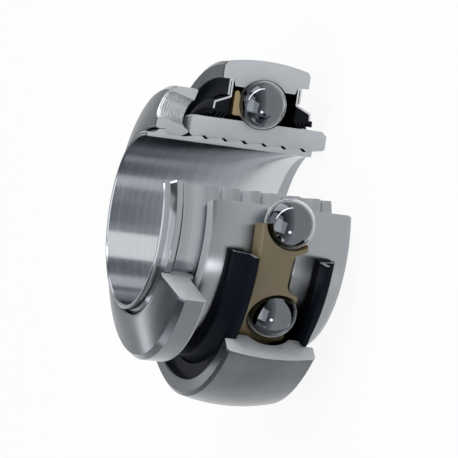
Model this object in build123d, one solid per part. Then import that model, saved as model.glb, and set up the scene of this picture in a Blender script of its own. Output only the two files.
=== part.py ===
from build123d import *
import math
import os

# Insert bearing with a stepped clamping sleeve, shown as a cutaway.
# Millimetres. Z is the bearing's axis, positive towards the locking collar.
# The origin is on the axis, in the plane of the ball centres.
# The first section plane is the half plane with x > 0 and y = 0. Each turned piece
# starts there, runs round counterclockwise about Z, and ends where its window begins.

# Boundary sizes
BORE = 35.0
OUTSIDE = 72.0
OUTER_WIDTH = 19.0
INNER_WIDTH = 30.0

# Windows cut out of the pieces, in degrees, each ending at the first section plane
SLEEVE_WINDOW = 57.0
INNER_WINDOW = 69.0
CAGE_WINDOW = 79.2
SEAL_WINDOW = 92.5
COLLAR_WINDOW = 115.0
OUTER_WINDOW = 126.5

# Ball set
BALL_DIAMETER = 10.319
PITCH_OFFSET = 0.2         # pitch radius past the middle between bore and outside
BALL_COUNT = 9
KEPT_COUNT = 8             # the ninth ball stood in the window
FIRST_BALL = 1.8           # degrees past the first section plane
GROOVE_EASE = 0.59         # raceway's radius in section past a ball's radius
RACE_GAP = 0.03            # play between a ball and each raceway bottom
RACE_EDGE = 0.35           # rounding of the raceway's edges

# Outer ring
OUTER_SHOULDER = 2.09      # height of the shoulders over the raceway's bottom
LAND_STEP = 1.4            # from a shoulder out to the seal's land
SEAT_DEPTH = 2.4           # from a ring face in to the seal's seat
SEAT_SLANT = 0.45          # axial run of the step between shoulder and land
OUTER_EDGE = 0.7           # rounding of the outside edges
LAND_EDGE = 0.2
OIL_HOLE = 1.6
OIL_HOLE_ANGLES = (35.0, 155.0)

# Inner ring
INNER_SHOULDER = 1.34      # height of the shoulders over the raceway's bottom
INNER_CHAMFER = 1.1        # chamfer of the end away from the collar
COLLAR_SIDE_BEVEL = 0.85   # bevel of the end near the collar, along the axis
COLLAR_SIDE_DROP = 0.45    # and across it
BORE_MOUTH = 0.6

# Stepped sleeve: long shallow cones, each ending in a short steep step
SLEEVE_FRONT = 24.0        # collar end of the sleeve
SLEEVE_BACK = -12.3
STEP_PITCH = 4.35
STEP_COUNT = 6
FIRST_STEP = 12.35         # top of the first cone
STEP_RUN = 0.85
SLEEVE_WALL = 0.9          # wall at the foot of a cone
STEP_RISE = 0.6            # from the foot of a cone to its top, square to the axis
LOCK_TRAVEL = 0.7          # how far the sleeve is drawn along the ring when locked
GROOVE_FRONT = 19.65       # sleeve groove that holds the collar's hook
GROOVE_BACK = 16.3
BEAD_WALL = 1.8            # wall at the bead in front of the groove
BEAD_BACK = 20.25
BEAD_FRONT = 21.45
NOSE_WALL = 0.9            # wall at the sleeve's front rim
NOSE_BACK = 22.6
SLEEVE_EDGE = 0.25

# Locking collar
COLLAR_FRONT = 22.4
COLLAR_LAND = 1.1          # width of the flat part of the front, round the mouth
RIM_WALL = 0.75            # metal between a screw hole and the outside
FRONT_TILT = 17.5          # slope of the dished front, in degrees
COLLAR_RIM_BACK = 14.35    # back face where it meets the outside diameter
BACK_TILT = 15.5
COLLAR_FRONT_EDGE = 1.3
COLLAR_BACK_EDGE = 0.9
BEAD_PLAY = 0.1            # between the collar's mouth and the sleeve's bead
MOUTH_FLARE = 0.3
FOOT_RISE = 0.83           # from the hook out to the low foot beside the inner ring
FOOT_WIDTH = 0.55
FOOT_FLARE = 0.7           # from the foot out to where it meets the back face
FOOT_PLAY = 0.4            # between the foot and the inner ring
HOOK_BACK = 16.8

# Grub screws
SCREW_DIAMETER = 6.0
SCREW_LENGTH = 6.0
SCREW_TIP = 4.0
SCREW_TILT = 14.8          # degrees between a screw and the bearing's axis
SCREW_WALL = 2.25          # metal between the collar's mouth and a screw hole
SCREW_ANGLES = (0.0, 120.0)
SOCKET_FLATS = 3.0
SOCKET_DEPTH = 3.0
TIP_PLAY = 0.05            # between a screw's tip and the inner ring's face

# Cage
CAGE_LIFT = 1.0            # from the inner ring out to the cage
CAGE_DROP = 0.85           # from the outer ring's shoulders in to the cage
CAGE_BACK_PLAY = 0.7       # from the cage's closed ring to the seal beside it
PRONG_TIP = -3.65          # ends of the prongs that hold the balls
PRONG_WALL = 1.02          # prongs' thickness round each pocket
WEB_EDGE = -0.75           # edge of the webs between the prongs
WEB_ROUND = 2.0
POCKET_PLAY = 0.12
POCKET_FLARE = 0.5         # how much wider a pocket is at the cage's outside
CAGE_EDGE = 0.3

# Seals
SHEET = 0.4                # thickness of the pressed sheet washer
HEM_GAP = 0.15             # between the two layers of the folded hem
HEM_WIDTH = 3.35           # how far the folded layer reaches in from the land
CONE_REACH = 3.25          # how far the cone leans out of the flat part
CONE_WIDTH = 1.4
FLANGE_WIDTH = 1.45        # from the cone's end in to the free end
BEND_RADIUS = 0.35
LIP_HEIGHT = 1.3           # from the inner ring out to the rubber between the lips
LIP_BACKING = 0.55         # from there out to the sheet's free end
LIP_PLAY = 0.08            # running gap at the inner ring
LIP_WIDTH = 0.55           # a lip at its root
LIP_LEAN = 0.75            # how far each lip leans out
LIP_COUNT = 3
SHIELD_PLAY = 0.6          # the outermost lip stops this far from the inner ring
SHIELD_LEAN = 0.45         # how far it stands out of the flange
SHIELD_WIDTH = 0.35
RUBBER_INSET = 0.25        # rubber's inner face, in from the sheet's inner face

bore_radius = BORE / 2
sphere_radius = OUTSIDE / 2
inner_end = INNER_WIDTH / 2
outer_end = OUTER_WIDTH / 2
seal_seat = outer_end - SEAT_DEPTH
ball_radius = BALL_DIAMETER / 2
pitch_radius = (BORE + OUTSIDE) / 4 + PITCH_OFFSET
groove_radius = ball_radius + GROOVE_EASE
inner_radius = pitch_radius - ball_radius - RACE_GAP + INNER_SHOULDER
shoulder_radius = pitch_radius + ball_radius + RACE_GAP - OUTER_SHOULDER
land_radius = shoulder_radius + LAND_STEP
cage_inside = inner_radius + CAGE_LIFT
cage_outside = shoulder_radius - CAGE_DROP
cage_back = seal_seat - CAGE_BACK_PLAY
pocket_radius = ball_radius + POCKET_PLAY
step_foot = bore_radius + SLEEVE_WALL
step_top = step_foot + STEP_RISE
step_slope = STEP_RISE / (STEP_PITCH - STEP_RUN)
nose_radius = bore_radius + NOSE_WALL
bead_radius = bore_radius + BEAD_WALL
mouth_radius = bead_radius + BEAD_PLAY
collar_land = mouth_radius + MOUTH_FLARE + COLLAR_LAND
screw_radius = SCREW_DIAMETER / 2
screw_circle = mouth_radius + SCREW_WALL + screw_radius
rim_radius = screw_circle + screw_radius + RIM_WALL
lip_root = inner_radius + LIP_HEIGHT
flange_end = lip_root + LIP_BACKING
cone_end = flange_end + FLANGE_WIDTH
cone_start = cone_end + CONE_WIDTH
MARGIN = 1.0               # how far a cutting shape stands past what it cuts


def at(radius, height):
    """A point of a profile: distance from the axis and place along it."""
    return (radius, height)


def profile(*points):
    """A closed face in the first section plane."""
    outline = Polyline(*points, close=True)
    return Plane.XZ * make_face(outline)


def disc(radius, centre_radius, height=0.0):
    """A round face in the first section plane."""
    return Plane.XZ * Pos(centre_radius, height) * Circle(radius)


def turned(face, window):
    """The face turned round the axis, up to its window."""
    return revolve(face, axis=Axis.Z, revolution_arc=360.0 - window)


def corners(face, places, reach=0.05):
    """The corners of a profile that lie at the given places."""
    found = []
    for radius, height in places:
        for corner in face.vertices():
            if abs(corner.X - radius) < reach and abs(corner.Z - height) < reach:
                found.append(corner)
    return found


def both_sides(face, radius, height):
    """The two corners of a profile at this distance from the axis and from the middle plane."""
    return corners(face, [(radius, height), (radius, -height)])


def outer_ring():
    step = seal_seat - SEAT_SLANT
    edge_radius = math.sqrt(sphere_radius**2 - outer_end**2)
    section = profile(
        at(land_radius, outer_end),
        at(sphere_radius + MARGIN, outer_end),
        at(sphere_radius + MARGIN, -outer_end),
        at(land_radius, -outer_end),
        at(land_radius, -seal_seat),
        at(shoulder_radius, -step),
        at(shoulder_radius, step),
        at(land_radius, seal_seat),
    )
    groove_centre = pitch_radius + ball_radius + RACE_GAP - groove_radius
    section = section & disc(sphere_radius, 0.0)
    section = section - disc(groove_radius, groove_centre)
    reach = math.sqrt(groove_radius**2 - (shoulder_radius - groove_centre) ** 2)
    section = fillet(both_sides(section, shoulder_radius, reach), RACE_EDGE)
    section = fillet(both_sides(section, edge_radius, outer_end), OUTER_EDGE)
    section = chamfer(both_sides(section, land_radius, outer_end), LAND_EDGE)
    ring = turned(section, OUTER_WINDOW)
    hole_height = -(reach + step) / 2
    for angle in OIL_HOLE_ANGLES:
        drill = Pos(0, 0, hole_height) * Rot(0, 90, 0) * Cylinder(
            OIL_HOLE / 2, sphere_radius + MARGIN, align=(Align.CENTER, Align.CENTER, Align.MIN))
        ring = ring - Rot(0, 0, angle) * drill
    return ring


def cone_points(count, shift):
    """Foot and top of each cone, from the collar's end, drawn back along the cones by shift."""
    points = []
    for index in range(count):
        top = FIRST_STEP - index * STEP_PITCH - shift
        foot = top - STEP_RUN
        points.append(at(step_top + shift * step_slope, top))
        points.append(at(step_foot + shift * step_slope, foot))
    return points


def cone_radius(height):
    """Radius of the cone that holds this height, where sleeve and ring bear on each other."""
    below_first = max(0.0, FIRST_STEP - STEP_RUN - height)
    index = math.ceil(below_first / STEP_PITCH)
    return step_top - (height - FIRST_STEP + index * STEP_PITCH) * step_slope


def inner_ring():
    bore_end = inner_end - INNER_CHAMFER / 2
    teeth = cone_points(STEP_COUNT, LOCK_TRAVEL)
    mouth = inner_end - BORE_MOUTH
    section = profile(
        at(cone_radius(mouth) + BORE_MOUTH, inner_end),
        at(inner_radius - COLLAR_SIDE_DROP, inner_end),
        at(inner_radius, inner_end - COLLAR_SIDE_BEVEL),
        at(inner_radius, INNER_CHAMFER - inner_end),
        at(inner_radius - INNER_CHAMFER * 0.8, -inner_end),
        at(cone_radius(-bore_end) + INNER_CHAMFER / 4, -inner_end),
        at(cone_radius(-bore_end), -bore_end),
        *reversed(teeth),
        at(cone_radius(mouth), mouth),
    )
    groove_centre = pitch_radius - ball_radius - RACE_GAP + groove_radius
    section = section - disc(groove_radius, groove_centre)
    reach = math.sqrt(groove_radius**2 - (groove_centre - inner_radius) ** 2)
    section = fillet(both_sides(section, inner_radius, reach), RACE_EDGE)
    return turned(section, INNER_WINDOW)


def hook_radius():
    """Bottom of the sleeve's groove, which carries the collar's hook."""
    return cone_radius(GROOVE_BACK)


def stepped_sleeve():
    section = profile(
        at(bore_radius, SLEEVE_BACK + SLEEVE_EDGE),
        at(bore_radius, SLEEVE_FRONT - SLEEVE_EDGE),
        at(bore_radius + SLEEVE_EDGE, SLEEVE_FRONT),
        at(nose_radius - SLEEVE_EDGE, SLEEVE_FRONT),
        at(nose_radius, SLEEVE_FRONT - SLEEVE_EDGE),
        at(nose_radius, NOSE_BACK),
        at(bead_radius, BEAD_FRONT),
        at(bead_radius, BEAD_BACK),
        at(hook_radius(), GROOVE_FRONT),
        at(hook_radius(), GROOVE_BACK),
        *cone_points(STEP_COUNT, 0.0),
        at(cone_radius(SLEEVE_BACK + SLEEVE_EDGE), SLEEVE_BACK + SLEEVE_EDGE),
        at(cone_radius(SLEEVE_BACK) - SLEEVE_EDGE, SLEEVE_BACK),
        at(bore_radius + SLEEVE_EDGE, SLEEVE_BACK),
    )
    return turned(section, SLEEVE_WINDOW)


def collar_front(radius):
    """Height of the collar's dished front at this distance from the axis."""
    return COLLAR_FRONT - (radius - collar_land) * math.tan(math.radians(FRONT_TILT))


def collar_back(radius):
    return COLLAR_RIM_BACK + (rim_radius - radius) * math.tan(math.radians(BACK_TILT))


def screw_place(angle):
    """Frame of a screw hole: origin on the front face, Z along the hole and out of its mouth."""
    mouth = Pos(screw_circle, 0, collar_front(screw_circle)) * Rot(0, SCREW_TILT, 0)
    return Rot(0, 0, angle) * mouth


def locking_collar():
    hook = hook_radius()
    flank = (BEAD_BACK - GROOVE_FRONT) / (bead_radius - hook)
    hook_front = GROOVE_FRONT + (mouth_radius - hook) * flank
    foot = inner_end + FOOT_PLAY
    foot_inside = hook + FOOT_RISE
    foot_outside = foot_inside + FOOT_WIDTH
    foot_root = foot_outside + FOOT_FLARE
    rim_front = at(rim_radius, collar_front(rim_radius))
    rim_back = at(rim_radius, collar_back(rim_radius))
    section = profile(
        at(hook, HOOK_BACK),
        at(foot_inside, foot),
        at(foot_outside, foot),
        at(foot_root, collar_back(foot_root)),
        rim_back,
        rim_front,
        at(collar_land, COLLAR_FRONT),
        at(mouth_radius + MOUTH_FLARE, COLLAR_FRONT),
        at(mouth_radius, COLLAR_FRONT - MOUTH_FLARE),
        at(mouth_radius, hook_front),
        at(hook, GROOVE_FRONT),
    )
    section = fillet(corners(section, [rim_front]), COLLAR_FRONT_EDGE)
    section = fillet(corners(section, [rim_back]), COLLAR_BACK_EDGE)
    collar = turned(section, COLLAR_WINDOW)
    for angle in SCREW_ANGLES:
        hole = screw_place(angle) * Cylinder(screw_radius, 2 * INNER_WIDTH)
        collar = collar - hole
    return collar


def grub_screw(angle):
    """Socket screw whose tip bears on the inner ring's face."""
    tilt = math.radians(SCREW_TILT)
    tip_drop = SCREW_TIP / 2 * math.sin(tilt)
    tip = (inner_end + TIP_PLAY + tip_drop - collar_front(screw_circle)) / math.cos(tilt)
    taper = (SCREW_DIAMETER - SCREW_TIP) / 2
    start = (Align.CENTER, Align.CENTER, Align.MIN)
    shank = Pos(0, 0, tip + taper) * Cylinder(screw_radius, SCREW_LENGTH - taper, align=start)
    point = Pos(0, 0, tip) * Cone(SCREW_TIP / 2, screw_radius, taper, align=start)
    top = tip + SCREW_LENGTH
    across_corners = SOCKET_FLATS / math.cos(math.radians(30))
    hexagon = Pos(0, 0, top) * RegularPolygon(across_corners / 2, 6)
    socket = extrude(hexagon, amount=-SOCKET_DEPTH)
    return screw_place(angle) * (shank + point - socket)


def ball_angles(count):
    pitch = 360.0 / BALL_COUNT
    return [FIRST_BALL + index * pitch for index in range(count)]


def ball(angle):
    return Rot(0, 0, angle) * Pos(pitch_radius, 0, 0) * Sphere(ball_radius)


def web_notch(angle):
    """Space between the prongs of two neighbouring pockets, rounded at its foot."""
    low = PRONG_TIP - MARGIN
    apart = cage_outside * math.sin(math.radians(180.0 / BALL_COUNT))
    face = Pos(0, (WEB_EDGE + low) / 2) * Rectangle(2 * apart, WEB_EDGE - low)
    for centre in (-apart, apart):
        face = face - Pos(centre, 0) * Circle(pocket_radius + PRONG_WALL)
    feet = [corner for corner in face.vertices() if abs(corner.Y - WEB_EDGE) < CAGE_EDGE]
    face = fillet(feet, WEB_ROUND)
    return Rot(0, 0, angle) * extrude(Plane.YZ * face, amount=OUTSIDE)


def pocket(angle):
    """Round seat of a ball, straight in its outer half and flared at the cage's outside."""
    reach = cage_outside + MARGIN - pitch_radius
    flare_foot = cage_outside - pitch_radius - 2 * POCKET_FLARE
    flare_height = reach - flare_foot
    flare_top = pocket_radius + flare_height / 2
    start = (Align.CENTER, Align.CENTER, Align.MIN)
    space = Sphere(pocket_radius) + Cylinder(pocket_radius, reach, align=start)
    flare = Cone(pocket_radius, flare_top, flare_height, align=start)
    space = space + Pos(0, 0, flare_foot) * flare
    return Rot(0, 0, angle) * Pos(pitch_radius, 0, 0) * Rot(0, 90, 0) * space


def cage():
    section = profile(
        at(cage_inside, PRONG_TIP),
        at(cage_outside, PRONG_TIP),
        at(cage_outside, cage_back),
        at(cage_inside, cage_back),
    )
    backs = [(cage_inside, cage_back), (cage_outside, cage_back)]
    section = chamfer(corners(section, backs), CAGE_EDGE)
    body = turned(section, CAGE_WINDOW)
    half_pitch = 180.0 / BALL_COUNT
    for angle in ball_angles(BALL_COUNT):
        body = body - pocket(angle)
        body = body - web_notch(angle + half_pitch)
    return body


def seal_line(side):
    """Bent middle line of the sheet washer, from the free end of its hem to its flange."""
    layer = seal_seat + SHEET / 2
    fold = layer + SHEET + HEM_GAP
    hem = land_radius - SHEET / 2
    reach = layer + CONE_REACH
    return [
        (land_radius - HEM_WIDTH, side * fold),
        (hem, side * fold),
        (hem, side * layer),
        (cone_start, side * layer),
        (cone_end, side * reach),
        (flange_end, side * (reach + SHEET / 4)),
    ]


def mitred(points, offset):
    """The line moved sideways by offset, with its corners mitred."""
    moved = []
    last = len(points) - 1
    for index, point in enumerate(points):
        before = points[max(index - 1, 0)]
        after = points[min(index + 1, last)]
        here = Vector(*point)
        first = (here - Vector(*before)) if index > 0 else (Vector(*after) - here)
        second = (Vector(*after) - here) if index < last else first
        first = first.normalized()
        second = second.normalized()
        normal = Vector(-first.Y - second.Y, first.X + second.X)
        share = 1 + first.dot(second)
        moved.append(here + normal * (offset / share))
    return moved


def washer_section(side):
    line = seal_line(side)
    ahead = mitred(line, SHEET / 2)
    behind = mitred(line, -SHEET / 2)
    section = profile(*[(p.X, p.Y) for p in ahead + behind[::-1]])
    bends = [(p.X, p.Y) for p in ahead[4:5] + behind[4:5]]
    return fillet(corners(section, bends, reach=0.01), BEND_RADIUS)


def seal_washer(side):
    """Sheet washer with a folded hem that is pressed into the outer ring's land."""
    return turned(washer_section(side), SEAL_WINDOW)


def lip(root, side):
    """One thin lip, leaning out of the bearing towards its tip."""
    top = lip_root + SHEET
    tip = inner_radius + LIP_PLAY
    return profile(
        at(top, side * root),
        at(top, side * (root + LIP_WIDTH)),
        at(tip + SHEET / 4, side * (root + LIP_WIDTH + LIP_LEAN)),
        at(tip, side * (root + LIP_WIDTH + LIP_LEAN)),
        at(lip_root, side * root),
    )


def shield_lip(side):
    """Outermost lip, which covers the flange's end and stands over the gap at the ring."""
    flange = seal_seat + SHEET / 2 + CONE_REACH
    outside = flange + SHIELD_LEAN + SHIELD_WIDTH
    tip = inner_radius + SHIELD_PLAY
    return profile(
        at(flange_end + SHEET, side * (outside - SHIELD_WIDTH / 2)),
        at(flange_end, side * outside),
        at(tip, side * outside),
        at(tip, side * (outside - SHIELD_WIDTH)),
        at(lip_root, side * (flange - SHEET)),
        at(lip_root + SHEET, side * (flange - SHEET)),
    )


def seal_lip(side):
    """Rubber that is bonded under the washer's cone, with its row of lips."""
    under = mitred(seal_line(side), side * SHEET / 2)
    cone_top = under[3]
    cone_foot = under[4]
    flange = under[5]
    inner_face = side * (seal_seat + RUBBER_INSET)
    share = (inner_face - cone_top.Y) / (cone_foot.Y - cone_top.Y)
    start = cone_top.X + (cone_foot.X - cone_top.X) * share
    section = profile(
        (start, inner_face),
        (cone_foot.X, cone_foot.Y),
        (flange.X, flange.Y),
        (lip_root, flange.Y),
        (lip_root, inner_face),
    )
    spacing = (abs(flange.Y - inner_face) - LIP_WIDTH) / LIP_COUNT
    for index in range(LIP_COUNT):
        section = section + lip(abs(inner_face) + spacing * index, side)
    return turned(section + shield_lip(side) - washer_section(side), SEAL_WINDOW)


def save(shape, name):
    shape.label = name
    export_step(shape, os.path.join("parts", name + ".step"))


os.makedirs("parts", exist_ok=True)
save(outer_ring(), "outer_ring")
save(inner_ring(), "inner_ring")
save(stepped_sleeve(), "stepped_sleeve")
save(locking_collar(), "locking_collar")
save(grub_screw(SCREW_ANGLES[1]), "grub_screw")
save(cage(), "cage")
for number, angle in enumerate(ball_angles(KEPT_COUNT), start=1):
    save(ball(angle), f"ball_{number}")
for side, name in ((1, "collar_side"), (-1, "far_side")):
    save(seal_washer(side), f"seal_washer_{name}")
    save(seal_lip(side), f"seal_lip_{name}")
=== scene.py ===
import math

import bmesh
import bpy
from mathutils import Matrix, Vector


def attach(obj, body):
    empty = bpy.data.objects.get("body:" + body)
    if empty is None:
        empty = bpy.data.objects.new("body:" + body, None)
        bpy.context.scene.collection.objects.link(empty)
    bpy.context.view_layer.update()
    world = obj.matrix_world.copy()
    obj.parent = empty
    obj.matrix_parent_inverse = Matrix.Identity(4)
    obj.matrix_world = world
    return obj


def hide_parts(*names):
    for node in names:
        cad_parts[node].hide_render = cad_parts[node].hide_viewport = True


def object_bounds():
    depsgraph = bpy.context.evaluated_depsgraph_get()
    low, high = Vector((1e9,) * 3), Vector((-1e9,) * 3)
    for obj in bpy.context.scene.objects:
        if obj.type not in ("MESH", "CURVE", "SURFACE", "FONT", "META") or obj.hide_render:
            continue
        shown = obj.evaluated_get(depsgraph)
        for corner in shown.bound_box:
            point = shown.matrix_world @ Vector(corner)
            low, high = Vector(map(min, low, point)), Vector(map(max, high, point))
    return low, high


# Cutaway insert bearing on a pale floor. Sizes are millimetres and become metres
# where a mesh is made. Z is the bearing's axis, positive towards the locking collar.
# An outline is a list of (radius, height) points in the first section plane.

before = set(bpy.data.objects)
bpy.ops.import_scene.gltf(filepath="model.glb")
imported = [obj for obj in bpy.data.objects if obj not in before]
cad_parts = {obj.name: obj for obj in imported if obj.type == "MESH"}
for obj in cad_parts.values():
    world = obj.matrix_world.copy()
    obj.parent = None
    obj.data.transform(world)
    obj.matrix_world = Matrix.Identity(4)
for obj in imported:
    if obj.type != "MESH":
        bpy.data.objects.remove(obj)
cad_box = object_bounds()

MM = 0.001

# Sizes that the solids have too
BORE = 35.0
OUTSIDE = 72.0
OUTER_WIDTH = 19.0
INNER_WIDTH = 30.0
SLEEVE_WINDOW = 57.0
INNER_WINDOW = 69.0
CAGE_WINDOW = 79.2
SEAL_WINDOW = 92.5
COLLAR_WINDOW = 115.0
OUTER_WINDOW = 126.5
BALL_DIAMETER = 10.319
PITCH_RADIUS = 26.95
BALL_COUNT = 9
KEPT_COUNT = 8
FIRST_BALL = 1.8
RACE_GAP = 0.03
RACE_RADIUS = 5.75
RACE_EDGE = 0.35
SHOULDER_RADIUS = 30.05
LAND_RADIUS = 31.45
SEAL_SEAT = 7.1
SEAT_SLANT = 0.45
LAND_EDGE = 0.2
OIL_HOLE = 1.6
OIL_HOLE_ANGLES = (35.0, 155.0)
INNER_RADIUS = 23.1
INNER_CHAMFER = 1.1
CHAMFER_SLANT = 0.8
COLLAR_SIDE_BEVEL = 0.85
COLLAR_SIDE_DROP = 0.45
BORE_MOUTH = 0.6
SLEEVE_FRONT = 24.0
SLEEVE_BACK = -12.3
STEP_PITCH = 4.35
STEP_COUNT = 6
FIRST_STEP = 12.35
STEP_RUN = 0.85
STEP_FOOT = 18.4
STEP_RISE = 0.6
LOCK_TRAVEL = 0.7
GROOVE_FRONT = 19.65
GROOVE_BACK = 16.3
BEAD_RADIUS = 19.3
BEAD_BACK = 20.25
BEAD_FRONT = 21.45
NOSE_RADIUS = 18.4
NOSE_BACK = 22.6
SLEEVE_EDGE = 0.25
COLLAR_FRONT = 22.4
COLLAR_LAND = 20.8
FRONT_TILT = 17.5
BACK_TILT = 15.5
COLLAR_RIM_BACK = 14.35
RIM_RADIUS = 28.4
COLLAR_BACK_EDGE = 0.5
MOUTH_RADIUS = 19.4
MOUTH_FLARE = 0.3
FOOT_INSIDE = 19.15
FOOT_OUTSIDE = 19.7
FOOT_ROOT = 20.4
FOOT_END = 15.4
HOOK_BACK = 16.8
SCREW_RADIUS = 3.0
SCREW_LENGTH = 6.0
SCREW_TIP = 4.0
SCREW_TILT = 14.8
SCREW_CIRCLE = 24.65
SCREW_ANGLES = (0.0, 120.0)
SOCKET_FLATS = 3.0
SOCKET_DEPTH = 3.0
TIP_PLAY = 0.05
CAGE_INSIDE = 24.1
CAGE_OUTSIDE = 29.2
CAGE_BACK = 6.4
PRONG_TIP = -3.65
PRONG_WALL = 1.02
WEB_EDGE = -0.75
WEB_ROUND = 2.0
POCKET_PLAY = 0.12
POCKET_FLARE = 0.5
CAGE_EDGE = 0.3
SHEET = 0.4
HEM_GAP = 0.15
HEM_WIDTH = 3.35
CONE_REACH = 3.25
CONE_START = 27.8
CONE_END = 26.4
FLANGE_END = 24.95
BEND_RADIUS = 0.35
LIP_ROOT = 24.4
LIP_PLAY = 0.08
LIP_WIDTH = 0.55
LIP_LEAN = 0.75
LIP_COUNT = 3
SHIELD_PLAY = 0.6
SHIELD_LEAN = 0.45
SHIELD_WIDTH = 0.35
RUBBER_INSET = 0.25

# Sizes that only the visual needs
ROW_ANGLE = 2.0            # degrees between two rows of a turned piece
FLATNESS = 0.004           # how far a chord may leave its round stretch
OUTER_BEVEL = 0.6          # drawn straight, as the photograph has it
COLLAR_BEVEL = 0.95
CUT_EDGE = 0.04            # edge broken round each section face
CUT_EDGE_SEGMENTS = 2
SHARP_EDGE = 30.0          # degrees past which an edge is drawn sharp
SAME_POINT = 0.001         # points nearer than this become one
THREAD_PITCH = 0.5         # finer than a real screw's, as the photograph's serrations are
THREAD_DEPTH = 0.3
THREAD_CREST = 0.07        # half a crest, as a share of the pitch
THREAD_ROWS = 8            # rows of points in one pitch
TAP_LENGTH = 12.0
COUNTERSINK = 0.3
ROUND_SIDES = 64           # sides of a drilled hole, a thread or a ball's pocket
BALL_SIDES = 96
SOCKET_SIDES = 6
MARGIN = 1.0               # how far a cutter stands past what it cuts

ball_radius = BALL_DIAMETER / 2
inner_end = INNER_WIDTH / 2
outer_end = OUTER_WIDTH / 2
sphere_radius = OUTSIDE / 2
bore_radius = BORE / 2
pocket_radius = ball_radius + POCKET_PLAY
outer_race_centre = PITCH_RADIUS + ball_radius + RACE_GAP - RACE_RADIUS
inner_race_centre = PITCH_RADIUS - ball_radius - RACE_GAP + RACE_RADIUS
step_top = STEP_FOOT + STEP_RISE
step_slope = STEP_RISE / (STEP_PITCH - STEP_RUN)
floor_height = cad_box[0].z


def linear(code):
    """An sRGB hex colour as the linear colour that Blender's sockets take."""
    parts = [int(code[place:place + 2], 16) / 255 for place in (1, 3, 5)]
    curve = [c / 12.92 if c <= 0.04045 else ((c + 0.055) / 1.055) ** 2.4 for c in parts]
    return (*curve, 1.0)


def feed(tree, node, inputs):
    """Gives each input its value, or links it to a socket or to a node's first output."""
    for name, value in inputs.items():
        if isinstance(value, bpy.types.Node):
            value = value.outputs[0]
        if isinstance(value, bpy.types.NodeSocket):
            tree.links.new(value, node.inputs[name])
        else:
            node.inputs[name].default_value = value


def add(tree, kind, inputs=None, **settings):
    """One node, with its settings and what feeds its inputs."""
    node = tree.nodes.new(kind)
    for name, value in settings.items():
        setattr(node, name, value)
    feed(tree, node, inputs or {})
    return node


# Outlines

def arc(centre, radius, start, end):
    """Points along a round stretch, between two directions in degrees."""
    step = math.degrees(2 * math.acos(1 - FLATNESS / radius))
    count = max(2, math.ceil(abs(end - start) / step))
    points = []
    for index in range(count + 1):
        turn = math.radians(start + (end - start) * index / count)
        points.append((centre[0] + radius * math.cos(turn), centre[1] + radius * math.sin(turn)))
    return points


def rounded(points, corners, radius):
    """The closed outline with these of its corners rounded."""
    result = []
    for index, point in enumerate(points):
        if point not in corners:
            result.append(point)
            continue
        here = Vector(point)
        back = (Vector(points[index - 1]) - here).normalized()
        ahead = (Vector(points[(index + 1) % len(points)]) - here).normalized()
        half = back.angle(ahead) / 2
        centre = here + (back + ahead).normalized() * (radius / math.sin(half))
        run = radius / math.tan(half)
        first = here + back * run - centre
        last = here + ahead * run - centre
        start = math.degrees(math.atan2(first.y, first.x))
        turn = math.degrees(math.atan2(last.y, last.x)) - start
        turn = (turn + 180) % 360 - 180
        result += arc(centre, radius, start, start + turn)
    return result


def bevelled(points, corners, width):
    """The closed outline with these of its corners cut straight, set back by the width."""
    result = []
    for index, point in enumerate(points):
        if point not in corners:
            result.append(point)
            continue
        here = Vector(point)
        for other in (points[index - 1], points[(index + 1) % len(points)]):
            result.append(tuple(here + (Vector(other) - here).normalized() * width))
    return result


def flipped(points):
    """The same points on the other side of the middle."""
    return [(radius, -height) for radius, height in points]


def race_reach(centre, shoulder):
    """Height at which a raceway's round stretch ends at its shoulder."""
    return math.sqrt(RACE_RADIUS**2 - (shoulder - centre) ** 2)


def race_turn(centre, shoulder):
    """Direction of that end in degrees, seen from the raceway's centre."""
    return math.degrees(math.asin(race_reach(centre, shoulder) / RACE_RADIUS))


def outer_ring_outline():
    face_turn = math.degrees(math.asin(outer_end / sphere_radius))
    crown = arc((0.0, 0.0), sphere_radius, 0.0, face_turn)
    race_start = race_turn(outer_race_centre, SHOULDER_RADIUS)
    race = arc((outer_race_centre, 0.0), RACE_RADIUS, race_start, 0.0)
    half = [
        *crown,
        (LAND_RADIUS + LAND_EDGE, outer_end),
        (LAND_RADIUS, outer_end - LAND_EDGE),
        (LAND_RADIUS, SEAL_SEAT),
        (SHOULDER_RADIUS, SEAL_SEAT - SEAT_SLANT),
        *race[:-1],
    ]
    outline = half[1:] + flipped(half)[::-1]
    outline = rounded(outline, [race[0], *flipped(race[:1])], RACE_EDGE)
    return bevelled(outline, [crown[-1], *flipped(crown[-1:])], OUTER_BEVEL)


def cone_points(count, shift):
    """Foot and top of each cone, from the collar's end, drawn back along the cones by shift."""
    points = []
    for index in range(count):
        top = FIRST_STEP - index * STEP_PITCH - shift
        points.append((step_top + shift * step_slope, top))
        points.append((STEP_FOOT + shift * step_slope, top - STEP_RUN))
    return points


def cone_radius(height):
    """Radius of the cone that holds this height, where sleeve and ring bear on each other."""
    below_first = max(0.0, FIRST_STEP - STEP_RUN - height)
    index = math.ceil(below_first / STEP_PITCH)
    return step_top - (height - FIRST_STEP + index * STEP_PITCH) * step_slope


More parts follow.
